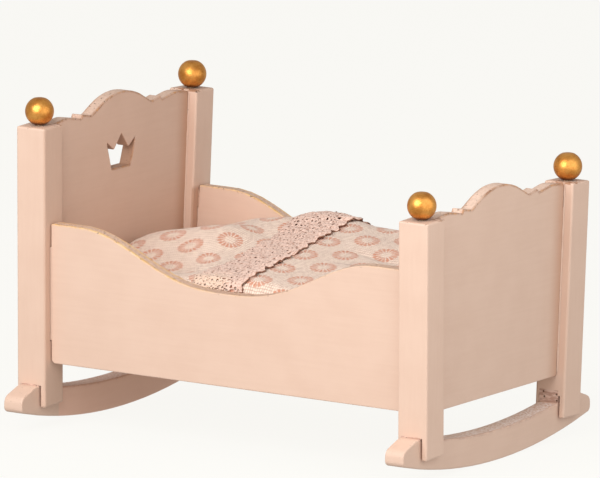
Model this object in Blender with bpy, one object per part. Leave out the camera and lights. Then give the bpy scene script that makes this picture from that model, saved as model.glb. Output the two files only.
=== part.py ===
"""A small wooden doll cradle with its bedding.

Four square posts lean outwards and carry turned ball finials. Two curved rockers pass
through slots in the feet of the posts. Shaped boards close the head and the foot, dipped
rails close the sides, and a plywood base on two cleats carries a mattress, and on it a
plump duvet with a band of lace. X runs from head to foot, Y from front to rear, and Z up
from the floor.
"""
import math

import bmesh
import bpy
from mathutils import Matrix, Vector
from mathutils.bvhtree import BVHTree

# Posts, all lengths in metres
POST_WIDTH = 0.0115
POST_SPACING_LONG = 0.1535
POST_SPACING_WIDE = 0.0913
HEAD_POST_LENGTH = 0.0980
FOOT_POST_LENGTH = 0.0819
SPLAY = math.radians(1.95)
POST_EDGE_RADIUS = 0.0006

# Boards of the four sides
BOARD_THICKNESS = 0.0047
BOARD_EDGE_RADIUS = 0.00035
PANEL_LIFT = 0.0148
RAIL_LIFT = 0.0153
RAIL_HEIGHT = 0.0490
RAIL_DIP = 0.0165
RAIL_DIP_WIDTH_SHARE = 0.83
RAIL_DIP_POWER = 2.9
RAIL_CORNER_RADIUS = 0.0016
TONGUE_SHARE = 0.175
TONGUE_SHOULDER = 0.0080

# Top line of an end board, from its middle to a post. Each corner is how far across it
# lies, how far above the top of the posts and how round it is, as shares of half the width
ARCH_SHARES = (0.0, 0.210, 0.71)
NOTCH_SHARES = (0.450, -0.0125, 0.060)
BARB_SHARES = (0.584, 0.0125, 0.012)
STEP_SHARES = (0.596, -0.019, 0.011)
SWELL_SHARES = (0.82, 0.019, 0.35)
TOP_END_RISE_SHARE = -0.003

# Crown cut through the head board
CROWN_BASE_WIDTH = 0.0120
CROWN_TOP_WIDTH = 0.0186
CROWN_HEIGHT = 0.0118
CROWN_SIDE_TIP_SHARE = 0.82
CROWN_VALLEY_SHARE = 0.55
CROWN_DROP = 0.0093
CROWN_TIP_RADIUS = 0.00015
CROWN_CORNER_RADIUS = 0.0005

# Rockers
ROCKER_THICKNESS_SHARE = 0.645
ROCKER_DEPTH = 0.0106
ROCKER_LOWER_RADIUS = 0.266
ROCKER_UPPER_RADIUS = 0.284
ROCKER_EDGE_RADIUS = 0.0005
NOSE_LENGTH = 0.0112
NOSE_SHOULDER = 0.0018
NOSE_TIP_HEIGHT = 0.0124
NOSE_SHOULDER_RADIUS = 0.0060
NOSE_TIP_RADIUS = 0.0030
NOSE_HEEL_RADIUS = 0.0020
FEET_CLEARANCE = 0.0031
OUTER_LEG_SHARE = 0.155
SLOT_SLACK = 0.0007

# Finials
BALL_RADIUS = 0.0050
BALL_SEAT_SHARE = 0.845
DOWEL_RADIUS_SHARE = 0.24
DOWEL_IN_BALL_SHARE = 0.80
DOWEL_IN_POST = 0.0060

# Base under the bedding
CLEAT_WIDTH = 0.0050
CLEAT_LIFT = 0.0015
BASE_THICKNESS = 0.0030

# Bedding
MATTRESS_THICKNESS = 0.0110
MATTRESS_CROWN = 0.0012
DUVET_HEAD_THICKNESS = 0.0110
DUVET_REAR_RISE = 0.0110
DUVET_REAR_DROP = 0.0040
DUVET_ROLL_RISE = 0.0012
DUVET_FOOT_FALL = 0.0055
DUVET_FULL_SHARE = -0.27
DUVET_ROLL_SHARE = 0.04
DUVET_RIDGE_SHARE = 0.62
DUVET_HEAD_POWER = 2.0
DUVET_FOOT_POWER = 1.2
DUVET_DOME_RISE = 0.0050
DUVET_DOME_AT = 0.12
DUVET_DOME_WIDTH = 0.28
DUVET_HOLLOW_DEPTH = 0.0033
DUVET_HOLLOW_AT = -0.55
DUVET_HOLLOW_WIDTH = 0.21
DUVET_DOME_SHARES = (-1.08, -0.74, -0.50, -0.27)
PAD_EDGE_SHARES = ((0.945, 0.0), (0.98, 0.10), (0.997, 0.28), (1.0, 0.50), (0.992, 0.74),
                   (0.965, 0.92))
PAD_TOP_SHARES = (0.92, 0.84, 0.73, 0.60, 0.46, 0.31, 0.15)
PAD_CORNER_POWER = 7.0
SIDE_DRAW_SHARE = 0.008
SOFT_CLEARANCE = 0.0006
LACE_THICKNESS = 0.0008
LACE_HEAD_SHARE = -0.27
LACE_FOOT_SHARE = 0.04
LACE_WIDTH_SHARE = 0.95
LACE_SCALLOPS = 17
LACE_SCALLOP_DEPTH = 0.0010
LACE_PUCKER = 0.00025

# Gap between pieces that touch, how far cutters reach past a face, and how near counts as one
SEAT = 0.0003
OVERRUN = 0.0020
MERGE = 0.000001

# How finely round shapes are cut up
CHORD_ERROR = 0.00002
BEND_LIMIT = math.radians(35.0)
LOWER_EDGE_FACETS = 15
UPPER_EDGE_FACETS = 14
RAIL_TOP_FACETS = 30
BALL_SIDES = 28
BALL_RINGS = 12
DOWEL_SIDES = 16
PAD_LONG_STEPS = 18
PAD_WIDE_STEPS = 10
LACE_ROWS = 5
SCALLOP_STEPS = 4

# Sizes that follow from the ones above. Heights are above the posts' feet
LEAN = math.tan(SPLAY)
HALF_POST = POST_WIDTH / 2
HALF_BOARD = BOARD_THICKNESS / 2
HALF_LONG = POST_SPACING_LONG / 2
HALF_WIDE = POST_SPACING_WIDE / 2
POST_OUTER_Y = HALF_WIDE + HALF_POST / math.cos(SPLAY)
TONGUE = TONGUE_SHARE * POST_WIDTH
TONGUE_BOTTOM = RAIL_LIFT + TONGUE_SHOULDER
RAIL_TONGUE_TOP = RAIL_LIFT + RAIL_HEIGHT - TONGUE_SHOULDER
ROCKER_THICKNESS = ROCKER_THICKNESS_SHARE * POST_WIDTH
ROCKER_OUTER_X = HALF_POST - OUTER_LEG_SHARE * POST_WIDTH - SLOT_SLACK
ROCKER_INNER_X = ROCKER_OUTER_X - ROCKER_THICKNESS
DOWEL_RADIUS = DOWEL_RADIUS_SHARE * BALL_RADIUS
CLEAT_TOP = RAIL_LIFT + CLEAT_LIFT + CLEAT_WIDTH
CLEAT_INNER = HALF_BOARD + SEAT + CLEAT_WIDTH
BASE_BOTTOM = CLEAT_TOP + CLEAT_INNER * LEAN + SEAT
MATTRESS_BOTTOM = BASE_BOTTOM + BASE_THICKNESS + SEAT
DUVET_BOTTOM = MATTRESS_BOTTOM + MATTRESS_THICKNESS + MATTRESS_CROWN + SEAT
SOFT_HALF_LONG = HALF_LONG - HALF_BOARD - SOFT_CLEARANCE

ENDS = {"head": (-1, HEAD_POST_LENGTH), "foot": (1, FOOT_POST_LENGTH)}
SIDES = {"front": -1, "rear": 1}

# Turns an outline drawn in y and z into a board across the cradle, and one drawn in x and
# z into a board along it
ACROSS = Matrix(((0, 0, 1, 0), (1, 0, 0, 0), (0, 1, 0, 0), (0, 0, 0, 1)))
ALONG = Matrix(((1, 0, 0, 0), (0, 0, 1, 0), (0, 1, 0, 0), (0, 0, 0, 1)))


def arc_height(radius, reach):
    """How far an arc through its lowest point has risen at a distance from the middle."""
    return radius - math.sqrt(radius ** 2 - reach ** 2)


def rocker_bottom(y):
    """Height of a rocker's lower edge above the floor."""
    return arc_height(ROCKER_LOWER_RADIUS, y)


def rocker_top(y):
    """Height of a rocker's upper edge above the floor."""
    return ROCKER_DEPTH + arc_height(ROCKER_UPPER_RADIUS, y)


FOOT_LIFT = rocker_bottom(POST_OUTER_Y) + FEET_CLEARANCE
SLOT_TOP = rocker_top(POST_OUTER_Y) - FOOT_LIFT + SEAT + HALF_POST * LEAN


def inner_half_width(height, inset):
    """Half the width between leaning sides, measured in from the posts' centre line."""
    return HALF_WIDE + height * LEAN - inset / math.cos(SPLAY)


def side_frame(side):
    """Placement of a leaning side: x along it, y outwards, z up it from the posts' feet."""
    lean = Matrix.Rotation(-side * SPLAY, 4, "X")
    outwards = Matrix.Scale(side, 4, Vector((0, 1, 0)))
    return Matrix.Translation((0, side * HALF_WIDE, FOOT_LIFT)) @ lean @ outwards


def material(name, colour, roughness, metallic=0.0):
    """A plain Principled material."""
    made = bpy.data.materials.new(name)
    made.use_nodes = True
    shader = made.node_tree.nodes["Principled BSDF"]
    shader.inputs["Base Color"].default_value = (*colour, 1.0)
    shader.inputs["Roughness"].default_value = roughness
    shader.inputs["Metallic"].default_value = metallic
    return made


def add_object(name, bm, surface, placement=Matrix()):
    """Turns a bmesh into a named object whose faces point out, shaded smooth but for edges."""
    bm.transform(placement)
    bm.normal_update()
    bmesh.ops.recalc_face_normals(bm, faces=bm.faces)
    mesh = bpy.data.meshes.new(name)
    bm.to_mesh(mesh)
    bm.free()
    mesh.materials.append(surface)
    mesh.shade_smooth()
    mesh.set_sharp_from_angle(angle=BEND_LIMIT)
    made = bpy.data.objects.new(name, mesh)
    bpy.context.scene.collection.objects.link(made)
    return made


def round_edges(made, width):
    """Rounds the sharp edges of an object."""
    bevel = made.modifiers.new("rounded edges", "BEVEL")
    bevel.width = width
    bevel.segments = 2
    bevel.limit_method = "ANGLE"
    bevel.angle_limit = BEND_LIMIT
    bevel.use_clamp_overlap = False


def cut(made, name, bm, placement=Matrix()):
    """Cuts a shape out of an object, and keeps the shape as a hidden cutter."""
    cutter = add_object(made.name + "_" + name, bm, made.data.materials[0], placement)
    cutter.hide_render = True
    cutter.display_type = "WIRE"
    boolean = made.modifiers.new(name, "BOOLEAN")
    boolean.operation = "DIFFERENCE"
    boolean.solver = "EXACT"
    boolean.object = cutter


def box(x_range, y_range, z_range):
    """A box between three pairs of limits."""
    ranges = (x_range, y_range, z_range)
    size = [high - low for low, high in ranges]
    middle = [(high + low) / 2 for low, high in ranges]
    bm = bmesh.new()
    bmesh.ops.create_cube(bm, size=1.0)
    bm.transform(Matrix.Translation(middle) @ Matrix.Diagonal((*size, 1.0)))
    return bm


def rounded(corners):
    """Points along a line of (u, v, radius) corners, with an arc at each round one."""
    points = [Vector(corners[0][:2])]
    for before, corner, after in zip(corners[:-2], corners[1:-1], corners[2:]):
        here = Vector(corner[:2])
        radius = corner[2]
        if radius == 0:
            points.append(here)
            continue
        back = (Vector(before[:2]) - here).normalized()
        ahead = (Vector(after[:2]) - here).normalized()
        turn = math.pi - back.angle(ahead)
        centre = here + (back + ahead).normalized() * radius / math.cos(turn / 2)
        start = here + back * radius * math.tan(turn / 2) - centre
        sense = -math.copysign(1.0, back.x * ahead.y - back.y * ahead.x)
        step = 2 * math.acos(1 - CHORD_ERROR / radius)
        count = max(3, math.ceil(turn / step))
        for index in range(count + 1):
            spoke = Matrix.Rotation(sense * turn * index / count, 2) @ start
            points.append(centre + spoke)
    points.append(Vector(corners[-1][:2]))
    return points


def even_steps(low, high, count):
    """Evenly spaced values from low to high."""
    return [low + (high - low) * index / count for index in range(count + 1)]


def extrude(outline, low, high):
    """A solid from a closed outline in x and y, between two heights in z."""
    bm = bmesh.new()
    base = bm.faces.new([bm.verts.new((point[0], point[1], low)) for point in outline])
    raised = bmesh.ops.extrude_face_region(bm, geom=[base], use_keep_orig=True)
    top = [item for item in raised["geom"] if isinstance(item, bmesh.types.BMVert)]
    bmesh.ops.translate(bm, verts=top, vec=(0, 0, high - low))
    return bm


def turned(profile, sides):
    """A turned solid about z from a profile of (radius, z) with both ends on the axis."""
    bm = bmesh.new()
    ring = [bm.verts.new((radius, 0, z)) for radius, z in profile]
    edges = [bm.edges.new(pair) for pair in zip(ring[:-1], ring[1:])]
    bmesh.ops.spin(bm, geom=ring + edges, axis=(0, 0, 1), angle=math.tau, steps=sides, use_merge=True)
    bmesh.ops.remove_doubles(bm, verts=bm.verts, dist=MERGE)
    return bm


def build_post(end, side, paint):
    """A square post, slotted for the rocker, with housings for its two boards and a dowel hole."""
    sign, length = ENDS[end]
    middle = sign * HALF_LONG
    frame = side_frame(SIDES[side])
    body = box((middle - HALF_POST, middle + HALF_POST), (-HALF_POST, HALF_POST), (0, length))
    post = add_object(f"{end}_{side}_post", body, paint, frame)
    round_edges(post, POST_EDGE_RADIUS)

    slot_x = (middle + ROCKER_INNER_X - SEAT, middle + ROCKER_OUTER_X + SLOT_SLACK)
    through_y = (-HALF_POST - OVERRUN, HALF_POST + OVERRUN)
    cut(post, "rocker_slot", box(slot_x, through_y, (-OVERRUN, SLOT_TOP)), frame)

    board_half = HALF_BOARD + SEAT
    rail_x = sorted(middle - sign * reach for reach in (HALF_POST + OVERRUN, HALF_POST - TONGUE - SEAT))
    rail_z = (TONGUE_BOTTOM - SEAT, RAIL_TONGUE_TOP + SEAT)
    cut(post, "rail_housing", box(rail_x, (-board_half, board_half), rail_z), frame)

    slack = SEAT + TONGUE * LEAN
    panel_y = (-HALF_POST - OVERRUN, -HALF_POST + TONGUE + SEAT)
    panel_z = (TONGUE_BOTTOM - slack, length - TONGUE_SHOULDER + slack)
    cut(post, "panel_housing", box((middle - board_half, middle + board_half), panel_y, panel_z), frame)

    hole = turned(((0, -DOWEL_IN_POST - SEAT), (DOWEL_RADIUS + SEAT, -DOWEL_IN_POST - SEAT),
                   (DOWEL_RADIUS + SEAT, OVERRUN), (0, OVERRUN)), DOWEL_SIDES)
    cut(post, "dowel_hole", hole, frame @ Matrix.Translation((middle, 0, length)))


def build_finial(end, side, gold, wood):
    """A turned ball on top of a post, and the dowel that holds it there."""
    sign, length = ENDS[end]
    frame = side_frame(SIDES[side]) @ Matrix.Translation((sign * HALF_LONG, 0, length))
    drop = BALL_SEAT_SHARE * BALL_RADIUS
    flat_angle = math.asin(-BALL_SEAT_SHARE)
    hole_radius = DOWEL_RADIUS + SEAT
    hole_top = DOWEL_IN_BALL_SHARE * BALL_RADIUS - drop + SEAT
    profile = [(0, hole_top), (hole_radius, hole_top), (hole_radius, -drop)]
    for angle in even_steps(flat_angle, math.pi / 2, BALL_RINGS)[:-1]:
        profile.append((BALL_RADIUS * math.cos(angle), BALL_RADIUS * math.sin(angle)))
    profile.append((0, BALL_RADIUS))
    seat = Matrix.Translation((0, 0, SEAT + drop))
    add_object(f"{end}_{side}_ball_finial", turned(profile, BALL_SIDES), gold, frame @ seat)

    dowel_top = SEAT + DOWEL_IN_BALL_SHARE * BALL_RADIUS
    dowel = turned(((0, -DOWEL_IN_POST), (DOWEL_RADIUS, -DOWEL_IN_POST), (DOWEL_RADIUS, dowel_top),
                    (0, dowel_top)), DOWEL_SIDES)
    add_object(f"{end}_{side}_finial_dowel", dowel, wood, frame)


def rail_top(x, half):
    """Height of a rail's top edge, an even dip between two level shoulders."""
    across = min(1.0, abs(x) / (RAIL_DIP_WIDTH_SHARE * half))
    return RAIL_LIFT + RAIL_HEIGHT - RAIL_DIP * (1 - math.sin(math.pi / 2 * across) ** RAIL_DIP_POWER)


def build_rail(side, paint):
    """A dipped side rail with a tongue at each end, housed in the posts."""
    half = HALF_LONG - HALF_POST - SEAT
    reach = half + SEAT + TONGUE
    base = rounded(((-half, TONGUE_BOTTOM, 0), (-half, RAIL_LIFT, RAIL_CORNER_RADIUS),
                    (half, RAIL_LIFT, RAIL_CORNER_RADIUS), (half, TONGUE_BOTTOM, 0)))
    right = [(reach, TONGUE_BOTTOM), (reach, RAIL_TONGUE_TOP), (half, RAIL_TONGUE_TOP)]
    top = [(x, rail_top(x, half)) for x in even_steps(half, -half, RAIL_TOP_FACETS)]
    left = [(-half, RAIL_TONGUE_TOP), (-reach, RAIL_TONGUE_TOP), (-reach, TONGUE_BOTTOM)]
    body = extrude(base + right + top + left, -HALF_BOARD, HALF_BOARD)
    rail = add_object(f"{side}_rail", body, paint, side_frame(SIDES[side]) @ ALONG)
    round_edges(rail, BOARD_EDGE_RADIUS)


def panel_edge(height):
    """Half the width of an end board at a height, between its leaning posts."""
    return inner_half_width(height, HALF_POST) - SEAT


def panel_outline(length):
    """Outline of an end board for posts of a length: splayed edges, tongues and arched top."""
    top = length * math.cos(SPLAY)
    half = panel_edge(top)
    end_height = top + half * TOP_END_RISE_SHARE
    tongue_top = top - TONGUE_SHOULDER
    right = [(panel_edge(PANEL_LIFT), PANEL_LIFT), (panel_edge(TONGUE_BOTTOM), TONGUE_BOTTOM),
             (panel_edge(TONGUE_BOTTOM) + SEAT + TONGUE, TONGUE_BOTTOM),
             (panel_edge(tongue_top) + SEAT + TONGUE, tongue_top), (panel_edge(tongue_top), tongue_top)]
    falling = (NOTCH_SHARES, BARB_SHARES, STEP_SHARES, SWELL_SHARES)
    corners = [(half * across, top + half * up, half * radius) for across, up, radius in falling]
    arch = (half * ARCH_SHARES[0], top + half * ARCH_SHARES[1], half * ARCH_SHARES[2])
    ends = (panel_edge(end_height), end_height, 0)
    line = [ends] + corners[::-1] + [arch]
    line += [(-across, height, radius) for across, height, radius in corners + [ends]]
    left = [(-across, height) for across, height in right[::-1]]
    return right + rounded(line) + left


def crown_outline(height):
    """A crown of three even points with its centre tip at a height, drawn by one rule."""
    base = height - CROWN_HEIGHT
    side_tip = (CROWN_TOP_WIDTH / 2, base + CROWN_SIDE_TIP_SHARE * CROWN_HEIGHT)
    valley = (CROWN_TOP_WIDTH / 4, base + CROWN_VALLEY_SHARE * CROWN_HEIGHT)
    foot = (CROWN_BASE_WIDTH / 2, base)
    right = [(*foot, CROWN_CORNER_RADIUS), (*side_tip, CROWN_TIP_RADIUS), (*valley, CROWN_CORNER_RADIUS)]
    left = [(-y, z, radius) for y, z, radius in right[::-1]]
    middle = (0, base, 0)
    return rounded([middle] + right + [(0, height, CROWN_TIP_RADIUS)] + left + [middle])[:-1]


def build_panel(end, paint):
    """An end board between two posts, arched on top. The head board has a crown cut in it."""
    sign, length = ENDS[end]
    placement = Matrix.Translation((sign * HALF_LONG, 0, FOOT_LIFT)) @ ACROSS
    panel = add_object(f"{end}_panel", extrude(panel_outline(length), -HALF_BOARD, HALF_BOARD), paint,
                       placement)
    if end == "head":
        tip_height = length * math.cos(SPLAY) - CROWN_DROP
        crown = extrude(crown_outline(tip_height), -HALF_BOARD - OVERRUN, HALF_BOARD + OVERRUN)
        cut(panel, "crown", crown, placement)
    round_edges(panel, BOARD_EDGE_RADIUS)


def build_rocker(end, paint):
    """A curved rocker with rounded noses. Its lower edge has a facet centred on the floor."""
    sign, length = ENDS[end]
    middle = sign * HALF_LONG
    tip = POST_OUTER_Y + NOSE_LENGTH
    shoulder = POST_OUTER_Y + NOSE_SHOULDER
    lower = [(y, rocker_bottom(y)) for y in even_steps(-POST_OUTER_Y, POST_OUTER_Y, LOWER_EDGE_FACETS)]
    arc_end = POST_OUTER_Y - NOSE_SHOULDER
    upper = [(y, rocker_top(y)) for y in even_steps(arc_end, -arc_end, UPPER_EDGE_FACETS)]
    nose = [(*lower[-1], 0), (tip, rocker_bottom(tip), NOSE_HEEL_RADIUS),
            (tip, NOSE_TIP_HEIGHT, NOSE_TIP_RADIUS),
            (shoulder, rocker_top(shoulder), NOSE_SHOULDER_RADIUS), (*upper[0], 0)]
    front_nose = [(-y, z, radius) for y, z, radius in nose[::-1]]
    outline = lower[:-1] + rounded(nose) + upper[1:-1] + rounded(front_nose)[:-1]
    body = extrude(outline, ROCKER_INNER_X, ROCKER_OUTER_X)
    rocker = add_object(f"{end}_rocker", body, paint, Matrix.Translation((middle, 0, 0)) @ ACROSS)
    round_edges(rocker, ROCKER_EDGE_RADIUS)


def build_base(wood):
    """The plywood base, notched round the posts, and the two cleats that carry it."""
    between_posts = HALF_LONG - HALF_POST - SEAT
    for side, sign in SIDES.items():
        cleat = box((-between_posts, between_posts), (-CLEAT_INNER, -HALF_BOARD - SEAT),
                    (RAIL_LIFT + CLEAT_LIFT, CLEAT_TOP))
        add_object(f"{side}_cleat", cleat, wood, side_frame(sign))
    to_panel = HALF_LONG - HALF_BOARD - SEAT
    to_rail = inner_half_width(BASE_BOTTOM, HALF_BOARD) - SEAT
    to_post = inner_half_width(BASE_BOTTOM, HALF_POST) - SEAT
    quarter = [(to_panel, to_post), (between_posts, to_post), (between_posts, to_rail)]
    half = quarter + [(-x, y) for x, y in quarter[::-1]]
    outline = half + [(-x, -y) for x, y in half]
    low = FOOT_LIFT + BASE_BOTTOM
    add_object("base_board", extrude(outline, low, low + BASE_THICKNESS), wood)


def pad_directions():
    """Directions round a pad, as points on the edge of a unit square, with how far out it goes."""
    square = [(1, y) for y in even_steps(-1, 1, PAD_WIDE_STEPS)[:-1]]
    square += [(x, 1) for x in even_steps(1, -1, PAD_LONG_STEPS)[:-1]]
    square += [(-x, -y) for x, y in square]
    directions = []
    for x, y in square:
        reach = (abs(x) ** PAD_CORNER_POWER + abs(y) ** PAD_CORNER_POWER) ** (-1 / PAD_CORNER_POWER)
        drawn_in = 1 - SIDE_DRAW_SHARE * (1 - (x * y) ** 2)
        directions.append((x * reach * drawn_in, y * reach * drawn_in))
    return directions


def soft_half_width(height):
    """Half the width of the bedding at a height above the floor, between the leaning rails."""
    return inner_half_width(height - FOOT_LIFT, HALF_BOARD) - SOFT_CLEARANCE


def pad(bottom, thickness):
    """A stuffed pad: flat below, full at the sides, and crowned as thickness(x, y) says.

    The thickness takes shares of the half length and half width.
    """
    bm = bmesh.new()
    rings = []
    for out, up in PAD_EDGE_SHARES + tuple((share, 1.0) for share in PAD_TOP_SHARES):
        ring = []
        for x, y in pad_directions():
            height = bottom + up * thickness(out * x, out * y)
            place = (out * x * SOFT_HALF_LONG, out * y * soft_half_width(height), height)
            ring.append(bm.verts.new(place))
        rings.append(ring)
    bm.faces.new(rings[0][::-1])
    for lower, upper in zip(rings[:-1], rings[1:]):
        for index in range(len(lower)):
            bm.faces.new((lower[index - 1], lower[index], upper[index], upper[index - 1]))
    middle = bm.verts.new((0, 0, bottom + thickness(0, 0)))
    for index in range(len(rings[-1])):
        bm.faces.new((rings[-1][index - 1], rings[-1][index], middle))
    return bm


def mattress_thickness(x, y):
    """A thin pad with a slight crown."""
    return MATTRESS_THICKNESS + MATTRESS_CROWN * (1 - x ** 2) * (1 - y ** 2)


def passed(value, start, end):
    """How far a value has gone from start to end, from 0 to 1."""
    return min(1.0, max(0.0, (value - start) / (end - start)))


def duvet_dome(x, y):
    """The dome along the middle of the head part, with a hollow in front of it."""
    start, full, fading, end = DUVET_DOME_SHARES
    there = math.sin(math.pi / 2 * passed(x, start, full)) * math.cos(math.pi / 2 * passed(x, fading, end))
    rise = DUVET_DOME_RISE * math.exp(-((y - DUVET_DOME_AT) / DUVET_DOME_WIDTH) ** 2)
    hollow = DUVET_HOLLOW_DEPTH * math.exp(-((y - DUVET_HOLLOW_AT) / DUVET_HOLLOW_WIDTH) ** 2)
    return (rise - hollow) * there ** 2


def duvet_thickness(x, y):
    """Thin at the head, fuller towards the rear, and fullest across it at the lace."""
    swell = math.sin(math.pi / 2 * passed(x, -1, DUVET_FULL_SHARE)) ** 2
    roll = passed(x, DUVET_FULL_SHARE, DUVET_ROLL_SHARE)
    power = DUVET_HEAD_POWER + (DUVET_FOOT_POWER - DUVET_HEAD_POWER) * roll
    climb = DUVET_REAR_RISE * passed(y, -1, DUVET_RIDGE_SHARE) ** power
    climb -= DUVET_REAR_DROP * passed(y, DUVET_RIDGE_SHARE, 1) ** 2
    fall = DUVET_FOOT_FALL * passed(x, DUVET_ROLL_SHARE, 1)
    body = DUVET_HEAD_THICKNESS + climb * swell + DUVET_ROLL_RISE * roll - fall
    return body + duvet_dome(x, y)


def lace_band(surface):
    """A puckered band laid over a surface, straight at the head side and scalloped at the other."""
    half_wide = soft_half_width(FOOT_LIFT + DUVET_BOTTOM + DUVET_HEAD_THICKNESS)
    bm = bmesh.new()
    layers = ([], [])
    last_column = LACE_SCALLOPS * SCALLOP_STEPS
    for column in range(last_column + 1):
        across = 2 * column / last_column - 1
        wave = math.cos(math.pi * LACE_SCALLOPS * across)
        foot_edge = LACE_FOOT_SHARE * SOFT_HALF_LONG + LACE_SCALLOP_DEPTH * wave
        y = across * LACE_WIDTH_SHARE * half_wide
        for row, x in enumerate(even_steps(LACE_HEAD_SHARE * SOFT_HALF_LONG, foot_edge, LACE_ROWS - 1)):
            above_it = Vector((x, y, FOOT_LIFT + HEAD_POST_LENGTH))
            ground = surface.ray_cast(above_it, Vector((0, 0, -1)))[0]
            pucker = LACE_PUCKER * (1 + wave * row / (LACE_ROWS - 1))
            for layer, lift in zip(layers, (0, LACE_THICKNESS)):
                layer.append(bm.verts.new((x, y, ground.z + SEAT + pucker + lift)))
    below, above = layers
    for column in range(last_column):
        for row in range(LACE_ROWS - 1):
            first = column * LACE_ROWS + row
            square = (first, first + 1, first + 1 + LACE_ROWS, first + LACE_ROWS)
            bm.faces.new([above[corner] for corner in square])
            bm.faces.new([below[corner] for corner in square[::-1]])
    last = last_column * LACE_ROWS
    far_corner = last + LACE_ROWS - 1
    near_corner = LACE_ROWS - 1
    border = list(range(0, last, LACE_ROWS)) + list(range(last, far_corner))
    border += list(range(far_corner, near_corner, -LACE_ROWS)) + list(range(near_corner, 0, -1))
    for index in range(len(border)):
        start, end = border[index - 1], border[index]
        bm.faces.new((below[start], below[end], above[end], above[start]))
    return bm


def lift_axis(name, height, parent=None):
    """An empty at the middle of a bedding piece, which is drawn out upwards along it."""
    axis = bpy.data.objects.new(name, None)
    bpy.context.scene.collection.objects.link(axis)
    axis.location = (0, 0, height)
    if parent:
        axis.parent = parent
        axis.matrix_parent_inverse = Matrix.Translation((0, 0, -parent.location.z))
    return axis


def build_bedding(cloth, lace):
    """The mattress, and on it the duvet with its lace."""
    low = FOOT_LIFT + MATTRESS_BOTTOM
    mattress_lift = lift_axis("mattress_lift", low)
    mattress = add_object("mattress", pad(low, mattress_thickness), cloth)
    low = FOOT_LIFT + DUVET_BOTTOM
    duvet_lift = lift_axis("duvet_lift", low, mattress_lift)
    stuffed = pad(low, duvet_thickness)
    surface = BVHTree.FromBMesh(stuffed)
    duvet = add_object("duvet", stuffed, cloth)
    trim = add_object("lace_trim", lace_band(surface), lace)
    for made, axis in ((mattress, mattress_lift), (duvet, duvet_lift), (trim, duvet_lift)):
        made.parent = axis
        made.matrix_parent_inverse = Matrix.Translation((0, 0, -axis.location.z))


for old in list(bpy.data.objects):
    bpy.data.objects.remove(old)

peach_paint = material("peach paint", (0.80, 0.57, 0.45), 0.45)
gold_paint = material("gold paint", (0.72, 0.43, 0.12), 0.32, 0.9)
bare_wood = material("bare wood", (0.62, 0.45, 0.28), 0.6)
printed_cotton = material("printed cotton", (0.72, 0.60, 0.50), 0.9)
cotton_lace = material("cotton lace", (0.66, 0.46, 0.38), 0.9)

for end_name in ENDS:
    build_panel(end_name, peach_paint)
    build_rocker(end_name, peach_paint)
    for side_name in SIDES:
        build_post(end_name, side_name, peach_paint)
        build_finial(end_name, side_name, gold_paint, bare_wood)
for side_name in SIDES:
    build_rail(side_name, peach_paint)
build_base(bare_wood)
build_bedding(printed_cotton, cotton_lace)
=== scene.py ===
"""Looks of a small wooden doll cradle: peach paint, gold ball finials, printed bedding and lace."""

from functools import reduce
import math

import bmesh
import bpy
import numpy as np
from mathutils import Matrix, Vector


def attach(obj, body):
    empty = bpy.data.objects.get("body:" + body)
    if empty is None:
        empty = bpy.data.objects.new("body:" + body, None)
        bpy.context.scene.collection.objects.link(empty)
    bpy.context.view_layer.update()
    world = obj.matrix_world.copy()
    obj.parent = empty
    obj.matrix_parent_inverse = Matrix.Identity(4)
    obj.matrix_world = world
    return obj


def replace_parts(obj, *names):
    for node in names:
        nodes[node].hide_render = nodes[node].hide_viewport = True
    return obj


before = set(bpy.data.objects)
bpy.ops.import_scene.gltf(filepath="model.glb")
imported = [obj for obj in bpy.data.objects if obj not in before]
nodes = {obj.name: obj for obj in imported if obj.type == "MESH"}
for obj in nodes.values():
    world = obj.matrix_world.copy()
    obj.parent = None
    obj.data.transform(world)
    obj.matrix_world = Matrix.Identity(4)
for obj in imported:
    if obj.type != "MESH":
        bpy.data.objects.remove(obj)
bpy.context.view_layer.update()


# The camera stands well back from the cradle's front foot corner and looks slightly down
# on it, with a long lens, so that its upright lines stay nearly parallel.
TURN, RISE, TILT = 0.5500945, 0.1806301, 0.0198588
DISTANCE = 3.902359
AIM_RIGHT, AIM_UP = 0.000375265, 0.058671687
FEET_HEIGHT = 0.008114
LENS, SENSOR = 678.04, 36.0
SIGHT_END = 20.0


def camera_place():
    """Right, up and back directions, and the point DISTANCE back from the aim above the feet.

    TURN goes from the front round to the foot, RISE up from level and TILT round the line of
    sight, all in radians.
    """
    back = np.array((math.sin(TURN) * math.cos(RISE), -math.cos(TURN) * math.cos(RISE), math.sin(RISE)))
    level = np.array((math.cos(TURN), math.sin(TURN), 0.0))
    upright = np.cross(back, level)
    right = level * math.cos(TILT) + upright * math.sin(TILT)
    up = upright * math.cos(TILT) - level * math.sin(TILT)
    place = back * DISTANCE + right * AIM_RIGHT + up * AIM_UP + np.array((0, 0, FEET_HEIGHT))
    return right, up, back, place


def new_object(name, data):
    """An object with this data, linked into the scene."""
    made = bpy.data.objects.new(name, data)
    bpy.context.scene.collection.objects.link(made)
    return made


def stand(thing, right, up, back, place):
    """Stands an object at a place, with its own three axes along these directions."""
    axes = np.column_stack((right, up, back, place))
    thing.matrix_world = Matrix(np.vstack((axes, (0, 0, 0, 1))).tolist())


camera_data = bpy.data.cameras.new("camera")
camera_data.lens = LENS
camera_data.sensor_width = SENSOR
camera_data.clip_end = SIGHT_END
camera = new_object("camera", camera_data)
stand(camera, *camera_place())
bpy.context.scene.camera = camera


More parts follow.
